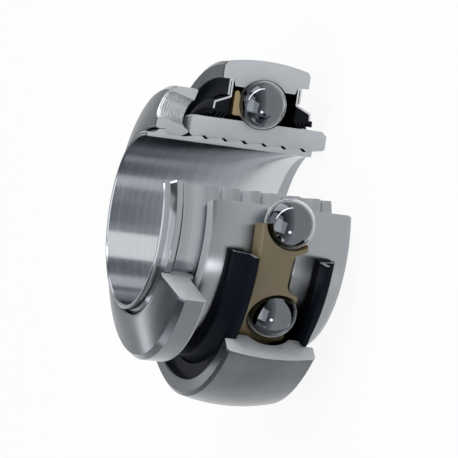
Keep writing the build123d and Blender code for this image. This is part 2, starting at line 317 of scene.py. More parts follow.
def inner_ring_outline():
    bore_end = inner_end - INNER_CHAMFER / 2
    mouth = inner_end - BORE_MOUTH
    half_turn = race_turn(inner_race_centre, INNER_RADIUS)
    race = arc((inner_race_centre, 0.0), RACE_RADIUS, 180 - half_turn, 180 + half_turn)
    points = [
        (cone_radius(mouth) + BORE_MOUTH, inner_end),
        (INNER_RADIUS - COLLAR_SIDE_DROP, inner_end),
        (INNER_RADIUS, inner_end - COLLAR_SIDE_BEVEL),
        *race,
        (INNER_RADIUS, INNER_CHAMFER - inner_end),
        (INNER_RADIUS - INNER_CHAMFER * CHAMFER_SLANT, -inner_end),
        (cone_radius(-bore_end) + INNER_CHAMFER / 4, -inner_end),
        (cone_radius(-bore_end), -bore_end),
        *reversed(cone_points(STEP_COUNT, LOCK_TRAVEL)),
        (cone_radius(mouth), mouth),
    ]
    return rounded(points, [race[0], race[-1]], RACE_EDGE)


def sleeve_outline():
    hook = cone_radius(GROOVE_BACK)
    bead_corners = [(BEAD_RADIUS, BEAD_FRONT), (BEAD_RADIUS, BEAD_BACK)]
    points = [
        (bore_radius, SLEEVE_BACK + SLEEVE_EDGE),
        (bore_radius, SLEEVE_FRONT - SLEEVE_EDGE),
        (bore_radius + SLEEVE_EDGE, SLEEVE_FRONT),
        (NOSE_RADIUS - SLEEVE_EDGE, SLEEVE_FRONT),
        (NOSE_RADIUS, SLEEVE_FRONT - SLEEVE_EDGE),
        (NOSE_RADIUS, NOSE_BACK),
        *bead_corners,
        (hook, GROOVE_FRONT),
        (hook, GROOVE_BACK),
        *cone_points(STEP_COUNT, 0.0),
        (cone_radius(SLEEVE_BACK + SLEEVE_EDGE), SLEEVE_BACK + SLEEVE_EDGE),
        (cone_radius(SLEEVE_BACK) - SLEEVE_EDGE, SLEEVE_BACK),
        (bore_radius + SLEEVE_EDGE, SLEEVE_BACK),
    ]
    return rounded(points, bead_corners, SLEEVE_EDGE)


def collar_front(radius):
    """Height of the collar's dished front at this distance from the axis."""
    return COLLAR_FRONT - (radius - COLLAR_LAND) * math.tan(math.radians(FRONT_TILT))


def collar_back(radius):
    """Height of the collar's back at this distance from the axis."""
    return COLLAR_RIM_BACK + (RIM_RADIUS - radius) * math.tan(math.radians(BACK_TILT))


def collar_outline():
    hook = cone_radius(GROOVE_BACK)
    flank = (BEAD_BACK - GROOVE_FRONT) / (BEAD_RADIUS - hook)
    rim_front = (RIM_RADIUS, collar_front(RIM_RADIUS))
    rim_back = (RIM_RADIUS, collar_back(RIM_RADIUS))
    points = [
        (hook, HOOK_BACK),
        (FOOT_INSIDE, FOOT_END),
        (FOOT_OUTSIDE, FOOT_END),
        (FOOT_ROOT, collar_back(FOOT_ROOT)),
        rim_back,
        rim_front,
        (COLLAR_LAND, COLLAR_FRONT),
        (MOUTH_RADIUS + MOUTH_FLARE, COLLAR_FRONT),
        (MOUTH_RADIUS, COLLAR_FRONT - MOUTH_FLARE),
        (MOUTH_RADIUS, GROOVE_FRONT + (MOUTH_RADIUS - hook) * flank),
        (hook, GROOVE_FRONT),
    ]
    return bevelled(rounded(points, [rim_back], COLLAR_BACK_EDGE), [rim_front], COLLAR_BEVEL)


def cage_outline():
    return [
        (CAGE_INSIDE, PRONG_TIP),
        (CAGE_OUTSIDE, PRONG_TIP),
        (CAGE_OUTSIDE, CAGE_BACK - CAGE_EDGE),
        (CAGE_OUTSIDE - CAGE_EDGE, CAGE_BACK),
        (CAGE_INSIDE + CAGE_EDGE, CAGE_BACK),
        (CAGE_INSIDE, CAGE_BACK - CAGE_EDGE),
    ]


def seal_line():
    """Bent middle line of the sheet washer, from the free end of its hem to its flange."""
    layer = SEAL_SEAT + SHEET / 2
    fold = layer + SHEET + HEM_GAP
    hem = LAND_RADIUS - SHEET / 2
    reach = layer + CONE_REACH
    return [
        (LAND_RADIUS - HEM_WIDTH, fold),
        (hem, fold),
        (hem, layer),
        (CONE_START, layer),
        (CONE_END, reach),
        (FLANGE_END, reach + SHEET / 4),
    ]


def offset_line(line, distance):
    """The line moved sideways, with its corners mitred."""
    moved = []
    last = len(line) - 1
    for index, point in enumerate(line):
        here = Vector(point)
        steps = []
        if index > 0:
            steps.append((here - Vector(line[index - 1])).normalized())
        if index < last:
            steps.append((Vector(line[index + 1]) - here).normalized())
        share = 1 + steps[0].dot(steps[-1])
        normal = Vector((-steps[0].y - steps[-1].y, steps[0].x + steps[-1].x))
        moved.append(tuple(here + normal * (distance / share)))
    return moved


def washer_outline():
    ahead = offset_line(seal_line(), SHEET / 2)
    behind = offset_line(seal_line(), -SHEET / 2)
    return rounded(ahead + behind[::-1], ahead[3:5] + behind[3:5], BEND_RADIUS)


def lip_outline():
    """Rubber under the washer's cone, with its contact lips and the outer shield lip."""
    under = offset_line(seal_line(), SHEET / 2)
    inner_face = SEAL_SEAT + RUBBER_INSET
    share = (inner_face - under[3][1]) / (under[4][1] - under[3][1])
    start = under[3][0] + (under[4][0] - under[3][0]) * share
    flange = under[5][1]
    tip = INNER_RADIUS + LIP_PLAY
    outside = SEAL_SEAT + SHEET / 2 + CONE_REACH + SHIELD_LEAN + SHIELD_WIDTH
    shield_tip = INNER_RADIUS + SHIELD_PLAY
    spacing = (flange - inner_face - LIP_WIDTH) / LIP_COUNT
    points = [(start, inner_face), under[4], under[5]]
    points += [
        (FLANGE_END, outside),
        (shield_tip, outside),
        (shield_tip, outside - SHIELD_WIDTH),
        (LIP_ROOT, flange),
    ]
    for index in reversed(range(LIP_COUNT)):
        root = inner_face + spacing * index
        points += [
            (LIP_ROOT, root + LIP_WIDTH),
            (tip, root + LIP_WIDTH + LIP_LEAN),
            (tip, root + LIP_WIDTH / 2 + LIP_LEAN),
            (LIP_ROOT, root),
        ]
    return points


# Geometry Nodes

def new_tree(name, sizes):
    """An empty tree with its geometry in and out and its named inputs."""
    tree = bpy.data.node_groups.new(name, "GeometryNodeTree")
    interface = tree.interface
    interface.new_socket("Geometry", in_out="INPUT", socket_type="NodeSocketGeometry")
    for label, kind in sizes:
        interface.new_socket(label, in_out="INPUT", socket_type=f"NodeSocket{kind}")
    interface.new_socket("Geometry", in_out="OUTPUT", socket_type="NodeSocketGeometry")
    return tree, add(tree, "NodeGroupInput").outputs


def turned_tree():
    """Turns an outline round the axis up to its window and closes both section faces."""
    tree, given = new_tree("turned_piece", [
        ("Turned", "Float"),
        ("Rows", "Int"),
        ("Path Radius", "Float"),
        ("Finish", "Material"),
        ("Section Finish", "Material"),
    ])
    outline = add(tree, "GeometryNodeMeshToCurve", {"Mesh": given["Geometry"]})
    inward = add(tree, "ShaderNodeMath", {0: given["Path Radius"], 1: -1.0}, operation="MULTIPLY")
    shift = add(tree, "ShaderNodeCombineXYZ", {"X": inward})
    profile = add(tree, "GeometryNodeTransform", {"Geometry": outline, "Translation": shift})
    path = add(tree, "GeometryNodeCurveArc", {
        "Resolution": given["Rows"], "Radius": given["Path Radius"],
        "Start Angle": 0.0, "Sweep Angle": given["Turned"]}, mode="RADIUS")
    upright = add(tree, "GeometryNodeSetCurveNormal", {"Curve": path}, mode="Z_UP")
    swept = add(tree, "GeometryNodeCurveToMesh", {
        "Curve": upright, "Profile Curve": profile, "Fill Caps": True})

    # A wall has four corners, and a section face has all those of the outline.
    corners = add(tree, "GeometryNodeInputMeshFaceNeighbors")
    section = add(tree, "FunctionNodeCompare", {0: corners.outputs["Vertex Count"], 1: 4.5},
                  data_type="FLOAT", operation="GREATER_THAN")

    # An edge between a section face and a wall averages to a half, so it is doubled.
    on_edges = add(tree, "GeometryNodeFieldOnDomain", {0: section},
                   domain="FACE", data_type="FLOAT")
    weight = add(tree, "ShaderNodeMath", {0: on_edges, 1: 2.0}, operation="MULTIPLY")
    marked = add(tree, "GeometryNodeStoreNamedAttribute", {
        "Geometry": swept, "Name": "bevel_weight_edge", "Value": weight},
        data_type="FLOAT", domain="EDGE")

    real = add(tree, "GeometryNodeRealizeInstances", {"Geometry": marked})
    finished = add(tree, "GeometryNodeSetMaterial", {"Geometry": real, "Material": given["Finish"]})
    sectioned = add(tree, "GeometryNodeSetMaterial", {
        "Geometry": finished, "Selection": section, "Material": given["Section Finish"]})
    add(tree, "NodeGroupOutput", {"Geometry": sectioned})
    return tree


def threaded_tree():
    """A threaded rod about Z: a closed cylinder whose side is moved onto the thread's form."""
    tree, given = new_tree("threaded_rod", [
        ("Radius", "Float"),
        ("Length", "Float"),
        ("Pitch", "Float"),
        ("Depth", "Float"),
        ("Crest", "Float"),
        ("Foot Radius", "Float"),
        ("Head Radius", "Float"),
        ("Mouth Radius", "Float"),
        ("Sides", "Int"),
        ("Rows", "Int"),
        ("Finish", "Material"),
    ])
    rod = add(tree, "GeometryNodeMeshCylinder", {
        "Vertices": given["Sides"], "Side Segments": given["Rows"],
        "Radius": given["Radius"], "Depth": given["Length"]}, fill_type="NGON")
    place = add(tree, "GeometryNodeInputPosition")
    split = add(tree, "ShaderNodeSeparateXYZ", {0: place})
    height = split.outputs["Z"]

    # The thread's radius: a helix of straight flanks, flat at crest and root.
    turn = add(tree, "ShaderNodeMath", {0: split.outputs["Y"], 1: split.outputs["X"]},
               operation="ARCTAN2")
    pitches = add(tree, "ShaderNodeMath", {0: height, 1: given["Pitch"]}, operation="DIVIDE")
    phase = add(tree, "ShaderNodeMath", {0: turn, 1: -0.5 / math.pi, 2: pitches},
                operation="MULTIPLY_ADD")
    flank = add(tree, "ShaderNodeMath", {0: phase, 1: 0.5}, operation="PINGPONG")
    root = add(tree, "ShaderNodeMath", {0: given["Radius"], 1: given["Depth"]},
               operation="SUBTRACT")
    root_start = add(tree, "ShaderNodeMath", {0: 0.5, 1: given["Crest"]}, operation="SUBTRACT")
    threaded = add(tree, "ShaderNodeMapRange", {
        "Value": flank, "From Min": given["Crest"], "From Max": root_start,
        "To Min": given["Radius"], "To Max": root})

    # Foot and head taper to their radii at 45 degrees, and a mouth flares the same way.
    half = add(tree, "ShaderNodeMath", {0: given["Length"], 1: 0.5}, operation="MULTIPLY")
    above = add(tree, "ShaderNodeMath", {0: half, 1: height}, operation="ADD")
    below = add(tree, "ShaderNodeMath", {0: half, 1: height}, operation="SUBTRACT")
    from_foot = add(tree, "ShaderNodeMath", {0: given["Foot Radius"], 1: above}, operation="ADD")
    from_head = add(tree, "ShaderNodeMath", {0: given["Head Radius"], 1: below}, operation="ADD")
    flare = add(tree, "ShaderNodeMath", {0: given["Mouth Radius"], 1: below}, operation="SUBTRACT")
    footed = add(tree, "ShaderNodeMath", {0: threaded, 1: from_foot}, operation="MINIMUM")
    pointed = add(tree, "ShaderNodeMath", {0: footed, 1: from_head}, operation="MINIMUM")
    radius = add(tree, "ShaderNodeMath", {0: pointed, 1: flare}, operation="MAXIMUM")

    flat = add(tree, "ShaderNodeCombineXYZ", {"X": split.outputs["X"], "Y": split.outputs["Y"]})
    outward = add(tree, "ShaderNodeVectorMath", {0: flat}, operation="NORMALIZE")
    aside = add(tree, "ShaderNodeVectorMath", {0: outward, "Scale": radius}, operation="SCALE")
    up = add(tree, "ShaderNodeCombineXYZ", {"Z": height})
    target = add(tree, "ShaderNodeVectorMath", {0: aside, 1: up}, operation="ADD")
    moved = add(tree, "GeometryNodeSetPosition", {"Geometry": rod, "Position": target})
    real = add(tree, "GeometryNodeRealizeInstances", {"Geometry": moved})
    finished = add(tree, "GeometryNodeSetMaterial", {"Geometry": real, "Material": given["Finish"]})
    add(tree, "NodeGroupOutput", {"Geometry": finished})
    return tree


def ring_of_cutters_tree():
    """Cuts copies of a cutter round the axis out of the piece; only section faces keep theirs."""
    tree, given = new_tree("cut_round_the_ring", [
        ("Cutter", "Object"),
        ("Count", "Int"),
        ("First Angle", "Float"),
        ("Finish", "Material"),
        ("Section Finish", "Material"),
    ])
    cutter = add(tree, "GeometryNodeObjectInfo", {"Object": given["Cutter"]})
    spots = add(tree, "GeometryNodeMeshLine", {"Count": given["Count"], "Offset": (0, 0, 0)})
    index = add(tree, "GeometryNodeInputIndex")
    pitch = add(tree, "ShaderNodeMath", {0: 2 * math.pi, 1: given["Count"]}, operation="DIVIDE")
    turn = add(tree, "ShaderNodeMath", {0: index, 1: pitch, 2: given["First Angle"]},
               operation="MULTIPLY_ADD")
    rotation = add(tree, "ShaderNodeCombineXYZ", {"Z": turn})
    copies = add(tree, "GeometryNodeInstanceOnPoints", {
        "Points": spots, "Instance": cutter.outputs["Geometry"], "Rotation": rotation})
    cut = add(tree, "GeometryNodeMeshBoolean", {"Mesh 1": given["Geometry"], "Mesh 2": copies},
              operation="DIFFERENCE", solver="EXACT")
    marked = add(tree, "GeometryNodeStoreNamedAttribute", {
        "Geometry": cut.outputs["Mesh"], "Name": "bevel_weight_edge",
        "Selection": cut.outputs["Intersecting Edges"], "Value": 1.0},
        data_type="FLOAT", domain="EDGE")
    section = add(tree, "GeometryNodeMaterialSelection", {"Material": given["Section Finish"]})
    walls = add(tree, "FunctionNodeBooleanMath", {0: section}, operation="NOT")
    real = add(tree, "GeometryNodeRealizeInstances", {"Geometry": marked})
    finished = add(tree, "GeometryNodeSetMaterial", {
        "Geometry": real, "Selection": walls, "Material": given["Finish"]})
    add(tree, "NodeGroupOutput", {"Geometry": finished})
    return tree


def run_tree(piece, tree, **inputs):
    """Adds the tree to the piece, with each input set by its socket's identifier."""
    modifier = piece.modifiers.new(tree.name, "NODES")
    modifier.node_group = tree
    for item in tree.interface.items_tree:
        label = item.name.lower().replace(" ", "_")
        if item.in_out == "INPUT" and label in inputs:
            modifier[item.identifier] = inputs[label]
    return modifier


# Mesh work

def new_piece(name, mesh):
    piece = bpy.data.objects.new(name, mesh)
    bpy.context.collection.objects.link(piece)
    return piece


def discard(piece):
    bpy.data.objects.remove(piece, do_unlink=True)


def settled(piece):
    """A plain mesh of the piece as its modifiers leave it; the piece itself is discarded."""
    graph = bpy.context.evaluated_depsgraph_get()
    graph.update()
    mesh = bpy.data.meshes.new_from_object(piece.evaluated_get(graph))
    discard(piece)
    return mesh


def cleaned(mesh):
    """Doubles merged, normals outwards, flat section faces flat and sharp edges sharp."""
    work = bmesh.new()
    work.from_mesh(mesh)
    bmesh.ops.remove_doubles(work, verts=work.verts, dist=SAME_POINT * MM)
    bmesh.ops.dissolve_degenerate(work, edges=work.edges, dist=SAME_POINT * MM)
    bmesh.ops.recalc_face_normals(work, faces=work.faces)
    for face in work.faces:
        face.smooth = len(face.verts) <= 4
    work.to_mesh(mesh)
    work.free()
    mesh.set_sharp_from_angle(angle=math.radians(SHARP_EDGE))
    return mesh


def outline_mesh(name, points, finish):
    """The outline as a closed line; a height is given downwards, as the sweep turns it over."""
    mesh = bpy.data.meshes.new(name)
    edges = [(index, (index + 1) % len(points)) for index in range(len(points))]
    mesh.from_pydata([(r * MM, -z * MM, 0.0) for r, z in points], edges, [])
    mesh.materials.append(finish)
    return mesh


def turned(name, points, window, finish, section_finish):
    """A turned piece with its window, its section faces and their broken edges."""
    degrees = 360.0 - window
    piece = new_piece(name, outline_mesh(name, points, finish))
    run_tree(piece, turning, turned=math.radians(degrees), rows=round(degrees / ROW_ANGLE) + 1,
             path_radius=PITCH_RADIUS * MM, finish=finish, section_finish=section_finish)
    edge = piece.modifiers.new("broken_edge", "BEVEL")
    edge.limit_method = "WEIGHT"
    edge.width = CUT_EDGE * MM
    edge.segments = CUT_EDGE_SEGMENTS
    edge.use_clamp_overlap = False
    return new_piece(name, cleaned(settled(piece)))


def closed_mesh(name, work):
    """The mesh of a closed body worked as a bmesh, with its normals outwards."""
    bmesh.ops.recalc_face_normals(work, faces=work.faces)
    for face in work.faces:
        face.smooth = True
    mesh = bpy.data.meshes.new(name)
    work.to_mesh(mesh)
    work.free()
    return mesh


def full_turn(points, sides, place, finish=None):
    """A closed turned body whose outline starts and ends on its own axis."""
    work = bmesh.new()
    rows = []
    for radius, height in points:
        if radius < FLATNESS:
            rows.append([work.verts.new((0.0, 0.0, height * MM))] * sides)
            continue
        row = []
        for index in range(sides):
            turn = 2 * math.pi * index / sides
            spot = (radius * math.cos(turn) * MM, radius * math.sin(turn) * MM, height * MM)
            row.append(work.verts.new(spot))
        rows.append(row)
    for low, high in zip(rows, rows[1:]):
        for index in range(sides):
            following = (index + 1) % sides
            ring = [low[index], low[following], high[following], high[index]]
            work.faces.new(list(dict.fromkeys(ring)))
    mesh = closed_mesh("full_turn", work)
    mesh.transform(place)
    if finish:
        mesh.materials.append(finish)
    return mesh


def turn_about_axis(degrees):
    return Matrix.Rotation(math.radians(degrees), 4, "Z")


def pointing_outwards(degrees, height=0.0):
    """Puts a body that stands on Z across the bearing's axis, pointing outwards."""
    raised = Matrix.Translation((0.0, 0.0, height * MM))
    return turn_about_axis(degrees) @ raised @ Matrix.Rotation(math.radians(90), 4, "Y")


def cut_away(piece, cutters):
    """The piece with the cutters' space taken out, in the finish of each cutter's own walls."""
    name = piece.name
    for cutter in cutters:
        cut = piece.modifiers.new("cut", "BOOLEAN")
        cut.operation = "DIFFERENCE"
        cut.solver = "EXACT"
        cut.material_mode = "TRANSFER"
        cut.object = cutter
    mesh = settled(piece)
    for cutter in cutters:
        discard(cutter)
    return new_piece(name, cleaned(mesh))


def refinish(piece, finish, chosen):
    """Gives the faces that the test picks a finish of their own; section faces keep theirs."""
    finishes = piece.data.materials
    finishes.append(finish)
    for face in piece.data.polygons:
        if finishes[face.material_index] != milled_steel and chosen(face):
            face.material_index = len(finishes) - 1


def keep(piece, node, body):
    """Rides the piece on its body in place of the solid that it shows."""
    piece.name = node + "_finished"
    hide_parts(node)
    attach(piece, body)


# Pieces

def outer_ring():
    piece = turned("outer_ring", outer_ring_outline(), OUTER_WINDOW, race_steel, milled_steel)
    shoulder_start = race_reach(outer_race_centre, SHOULDER_RADIUS)
    height = -(shoulder_start + SEAL_SEAT - SEAT_SLANT) / 2
    mouth = math.sqrt(sphere_radius**2 - height**2)
    hole = OIL_HOLE / 2
    drill = [
        (0.0, LAND_RADIUS - 2 * MARGIN - hole),
        (hole, LAND_RADIUS - 2 * MARGIN),
        (hole, mouth - COUNTERSINK),
        (hole + COUNTERSINK + MARGIN, mouth + MARGIN),
        (0.0, mouth + MARGIN),
    ]
    cutters = []
    for angle in OIL_HOLE_ANGLES:
        place = pointing_outwards(angle, height)
        cutters.append(new_piece("drill", full_turn(drill, ROUND_SIDES, place, race_steel)))
    keep(cut_away(piece, cutters), "outer_ring", "outer")


def inner_ring():
    piece = turned("inner_ring", inner_ring_outline(), INNER_WINDOW, ring_steel, milled_steel)
    # The collar-side end face takes the rough finish with painted light.
    refinish(piece, faced_painted_light_steel, lambda face: face.center.z > (inner_end - FLATNESS) * MM)
    keep(piece, "inner_ring", "inner")


def stepped_sleeve():
    piece = turned("stepped_sleeve", sleeve_outline(), SLEEVE_WINDOW, sleeve_steel, milled_steel)
    bore_reach = (bore_radius + SLEEVE_EDGE / 4) * MM
    # The bore takes its own finish, paler as painted light.
    refinish(piece, bore_painted_light_steel, lambda face: face.center.xy.length < bore_reach)
    keep(piece, "stepped_sleeve", "inner")


def screw_place(angle):
    """Frame of a screw hole: origin on the front face, Z along the hole and out of its mouth."""
    spot = Vector((SCREW_CIRCLE, 0.0, collar_front(SCREW_CIRCLE))) * MM
    tilt = Matrix.Rotation(math.radians(SCREW_TILT), 4, "Y")
    return turn_about_axis(angle) @ Matrix.Translation(spot) @ tilt


def threaded_rod(name, place, length, finish, foot_radius=SCREW_RADIUS,
                 head_radius=SCREW_RADIUS, mouth_radius=0.0):
    """A threaded body along the Z axis of its place, whose ends may taper or flare."""
    mesh = bpy.data.meshes.new(name)
    mesh.materials.append(finish)
    piece = new_piece(name, mesh)
    run_tree(piece, threading, radius=SCREW_RADIUS * MM, length=length * MM,
             pitch=THREAD_PITCH * MM, depth=THREAD_DEPTH * MM, crest=THREAD_CREST,
             foot_radius=foot_radius * MM, head_radius=head_radius * MM,
             mouth_radius=mouth_radius * MM, sides=ROUND_SIDES,
             rows=round(length / THREAD_PITCH * THREAD_ROWS), finish=finish)
    mesh = settled(piece)
    mesh.transform(place)
    return new_piece(name, mesh)


def locking_collar():
    def on_back(face):
        return face.normal.z < 0 and face.center.z < collar_back(FOOT_ROOT) * MM

    piece = turned("locking_collar", collar_outline(), COLLAR_WINDOW, collar_steel, milled_steel)
    # The back takes the rough finish with painted light.
    refinish(piece, faced_painted_light_steel, on_back)
    middle = Matrix.Translation((0.0, 0.0, (MARGIN - TAP_LENGTH / 2) * MM))
    cutters = []
    for angle in SCREW_ANGLES:
        cutters.append(threaded_rod("tap", screw_place(angle) @ middle, TAP_LENGTH, tapped_steel,
                                    mouth_radius=SCREW_RADIUS + COUNTERSINK / 2 + MARGIN))
    keep(cut_away(piece, cutters), "locking_collar", "inner")


def grub_screw():
    tilt = math.radians(SCREW_TILT)
    tip_drop = SCREW_TIP / 2 * math.sin(tilt)
    tip = (inner_end + TIP_PLAY + tip_drop - collar_front(SCREW_CIRCLE)) / math.cos(tilt)
    middle = Matrix.Translation((0.0, 0.0, (tip + SCREW_LENGTH / 2) * MM))
    place = screw_place(SCREW_ANGLES[1]) @ middle
    piece = threaded_rod("grub_screw", place, SCREW_LENGTH, black_screw_steel,
                         foot_radius=SCREW_TIP / 2, head_radius=SCREW_RADIUS - THREAD_DEPTH)
    corner = SOCKET_FLATS / 2 / math.cos(math.pi / SOCKET_SIDES)
    top = SCREW_LENGTH / 2
    socket = [
        (0.0, top - SOCKET_DEPTH - corner / 2),
        (corner, top - SOCKET_DEPTH),
        (corner, top - COUNTERSINK),
        (corner + COUNTERSINK + MARGIN, top + MARGIN),
        (0.0, top + MARGIN),
    ]
    key = new_piece("key", full_turn(socket, SOCKET_SIDES, place, black_screw_steel))
    keep(cut_away(piece, [key]), "grub_screw", "inner")


def pocket_cutter():
    """Round seat of a ball, straight in its outer half and flared at the cage's outside."""
    reach = CAGE_OUTSIDE + MARGIN - PITCH_RADIUS
    flare_foot = CAGE_OUTSIDE - PITCH_RADIUS - 2 * POCKET_FLARE
    points = arc((0.0, 0.0), pocket_radius, -90.0, 0.0)
    points += [
        (pocket_radius, flare_foot),
        (pocket_radius + (reach - flare_foot) / 2, reach),
        (0.0, reach),
    ]
    place = pointing_outwards(0.0) @ Matrix.Translation((0.0, 0.0, PITCH_RADIUS * MM))
    return new_piece("pocket", full_turn(points, ROUND_SIDES, place))


def web_notch_cutter():
    """Space between the prongs of two neighbouring pockets, rounded at its foot."""
    low = PRONG_TIP - MARGIN
    apart = CAGE_OUTSIDE * math.sin(math.pi / BALL_COUNT)
    prong = pocket_radius + PRONG_WALL
    foot_height = WEB_EDGE - WEB_ROUND
    foot = apart - math.sqrt((prong + WEB_ROUND) ** 2 - foot_height**2)
    join = math.degrees(math.atan2(-foot_height, apart - foot))
    low_turn = math.degrees(math.asin(-low / prong))
    side = arc((foot, foot_height), WEB_ROUND, 90.0, join)
    side += arc((apart, 0.0), prong, 180.0 + join, 180.0 + low_turn)[1:]
    outline = side + [(-x, y) for x, y in reversed(side)]
    work = bmesh.new()
    # It reaches from well inside the cage to past its outside.
    near = [work.verts.new((CAGE_INSIDE / 2 * MM, x * MM, y * MM)) for x, y in outline]
    far = [work.verts.new(((CAGE_OUTSIDE + MARGIN) * MM, x * MM, y * MM)) for x, y in outline]
    work.faces.new(near)
    work.faces.new(far)
    for index in range(len(outline)):
        following = (index + 1) % len(outline)
        work.faces.new((near[index], near[following], far[following], far[index]))
    return new_piece("web_notch", closed_mesh("web_notch", work))


def cage():
    piece = turned("cage", cage_outline(), CAGE_WINDOW, moulded_polyamide, cut_polyamide)
    pocket = pocket_cutter()
    notch = web_notch_cutter()
    half_pitch = 180.0 / BALL_COUNT
    for cutter, angle in ((pocket, FIRST_BALL), (notch, FIRST_BALL + half_pitch)):
        run_tree(piece, cutting, cutter=cutter, count=BALL_COUNT, first_angle=math.radians(angle),
                 finish=moulded_polyamide, section_finish=cut_polyamide)
    mesh = settled(piece)
    discard(pocket)
    discard(notch)
    keep(new_piece("cage", cleaned(mesh)), "cage", "cage")


def ball(number):
    angle = FIRST_BALL + (number - 1) * 360.0 / BALL_COUNT
    points = arc((0.0, 0.0), ball_radius, -90.0, 90.0)
    middle = Matrix.Translation((PITCH_RADIUS * MM, 0.0, 0.0))
    mesh = full_turn(points, BALL_SIDES, turn_about_axis(angle) @ middle, lapped_steel)
    name = f"ball_{number}"
    keep(new_piece(name, mesh), name, name)


def seal(side, washer_points, lip_points):
    washer_name = f"seal_washer_{side}"
    lip_name = f"seal_lip_{side}"
    washer = turned(washer_name, washer_points, SEAL_WINDOW, coated_sheet, bare_sheet)
    lip = turned(lip_name, lip_points, SEAL_WINDOW, moulded_rubber, cut_rubber)
    keep(washer, washer_name, "outer")
    keep(lip, lip_name, "outer")


# Finishes

# Pattern sizes in mm. Real marks and grains are mostly too fine to show, so those
# called coarse are drawn larger than real.
TURNING = 0.9              # between turning marks, coarse
GRINDING = 0.8             # between grinding lines, coarse
STREAK = 2.6               # across a streak of the sleeve's polish
CLOUD = 7.0                # across a cloud left by hardening
MOTTLE = 2.4               # across a patch of the milled faces' mottling
SHEARING = 0.4             # between marks on a sheet's cut edge, coarse
LAPPING = 1.5              # across a patch of the balls' lapping, coarse
FLOW = 6.0                 # across a band of the moulding's flow
CUT_GRAIN = 0.5            # of the cut polyamide, coarse
COATING_GRAIN = 0.35       # coarse
RUBBER_GRAIN = 0.3         # coarse
GLOW_DEPTH = 1.5           # how far light wanders in the polyamide
PATCHES = (0.3, 0.7)       # noise values that a pattern spans
SMEAR = 0.8                # anisotropy of a surface with tool marks round the axis
ACROSS_MARKS = 0.25        # of a turn, from along the marks to across them
PAINTED_RIM_FACING = (0.45, 0.8)          # Layer Weight values between which a ball's colour is painted bright, a painted rim highlight
PAINTED_RIM_SHARE = 0.9            # of the painted highlight colour at the very rim
PAINTED_RIM_DULLING = 0.8          # how much less metallic the painted highlight colour is
FLOOR_WHITE = 0.92         # share of pure white in what a ray sees of the floor

METAL = {"Metallic": 1.0}
POLYAMIDE = {"IOR": 1.53, "Subsurface Weight": 0.3, "Subsurface Scale": GLOW_DEPTH * MM}
COATING = {"IOR": 1.5, "Specular IOR Level": 0.03}
RUBBER = {"IOR": 1.52, "Specular IOR Level": 0.02}


def start_finish(name, sockets):
    """A material, its tree, its shader with these sockets set, and the place on the piece."""
    material = bpy.data.materials.new(name)
    material.use_nodes = True
    tree = material.node_tree
    shader = tree.nodes["Principled BSDF"]
    feed(tree, shader, sockets)
    place = add(tree, "ShaderNodeTexCoord").outputs["Object"]
    return material, tree, shader, place


def round_the_axis(tree, place):
    """Coordinates that only change along the axis and away from it, for marks left by turning."""
    split = add(tree, "ShaderNodeSeparateXYZ", {0: place})
    flat = add(tree, "ShaderNodeCombineXYZ", {"X": split.outputs["X"], "Y": split.outputs["Y"]})
    radius = add(tree, "ShaderNodeVectorMath", {0: flat}, operation="LENGTH")
    return add(tree, "ShaderNodeCombineXYZ", {
        "X": radius.outputs["Value"], "Y": split.outputs["Z"]})


def drawn_round(tree, shader, place):
    """Tool marks round the axis: reflections smear across the marks, towards or along the axis."""
    split = add(tree, "ShaderNodeSeparateXYZ", {0: place})
    minus_y = add(tree, "ShaderNodeMath", {0: split.outputs["Y"], 1: -1.0}, operation="MULTIPLY")
    around = add(tree, "ShaderNodeCombineXYZ", {"X": minus_y, "Y": split.outputs["X"]})
    tangent = add(tree, "ShaderNodeVectorTransform", {0: around},
                  vector_type="VECTOR", convert_from="OBJECT", convert_to="WORLD")
    unit = add(tree, "ShaderNodeVectorMath", {0: tangent}, operation="NORMALIZE")
    feed(tree, shader, {
        "Anisotropic": SMEAR, "Anisotropic Rotation": ACROSS_MARKS, "Tangent": unit})


def spread(tree, shader, place, size, colours, roughness, height):
    """Soft patches of a size in mm: between two colours, two roughnesses, and as fine relief."""
    pattern = add(tree, "ShaderNodeTexNoise", {"Vector": place, "Scale": 1 / (size * MM)})
    ramp = add(tree, "ShaderNodeValToRGB", {0: pattern})
    for stop, position, colour in zip(ramp.color_ramp.elements, PATCHES, colours):
        stop.position = position
        stop.color = linear(colour)
    rough = add(tree, "ShaderNodeMapRange", {
        "Value": pattern, "From Min": PATCHES[0], "From Max": PATCHES[1],
        "To Min": roughness[0], "To Max": roughness[1]})
    relief = add(tree, "ShaderNodeBump", {"Height": pattern, "Distance": height * MM})
    feed(tree, shader, {"Base Color": ramp, "Roughness": rough, "Normal": relief})
    return ramp


def milled_section_steel():
    """Bearing steel cut through and milled: a pale, even, satin grey with soft mottling."""
    material, tree, shader, place = start_finish("milled_section_steel", METAL)
    spread(tree, shader, place, MOTTLE, ("#c6cacd", "#d1d4d7"), (0.72, 0.8), 0.001)
    return material


def ground_race_steel():
    """Through-hardened steel, ground all over: dark and glossy, with soft clouds from hardening."""
    material, tree, shader, place = start_finish("ground_race_steel", METAL)
    drawn_round(tree, shader, place)
    spread(tree, shader, place, CLOUD, ("#606469", "#6d7176"), (0.23, 0.28), 0.0005)
    return material


def ground_ring_steel():
    """The inner ring's ground steel: brighter than the outer ring, with fine lines."""
    material, tree, shader, place = start_finish("ground_ring_steel", METAL)
    drawn_round(tree, shader, place)
    marks = round_the_axis(tree, place)
    spread(tree, shader, marks, GRINDING, ("#9da1a5", "#a1a5a9"), (0.27, 0.31), 0.00001)
    return material


def polished_sleeve_steel():
    """Polished outside of the sleeve: near mirror, with a little streaking round it."""
    material, tree, shader, place = start_finish("polished_sleeve_steel", METAL)
    marks = round_the_axis(tree, place)
    spread(tree, shader, marks, STREAK, ("#8a8d92", "#a4a7ac"), (0.12, 0.2), 0.0001)
    return material


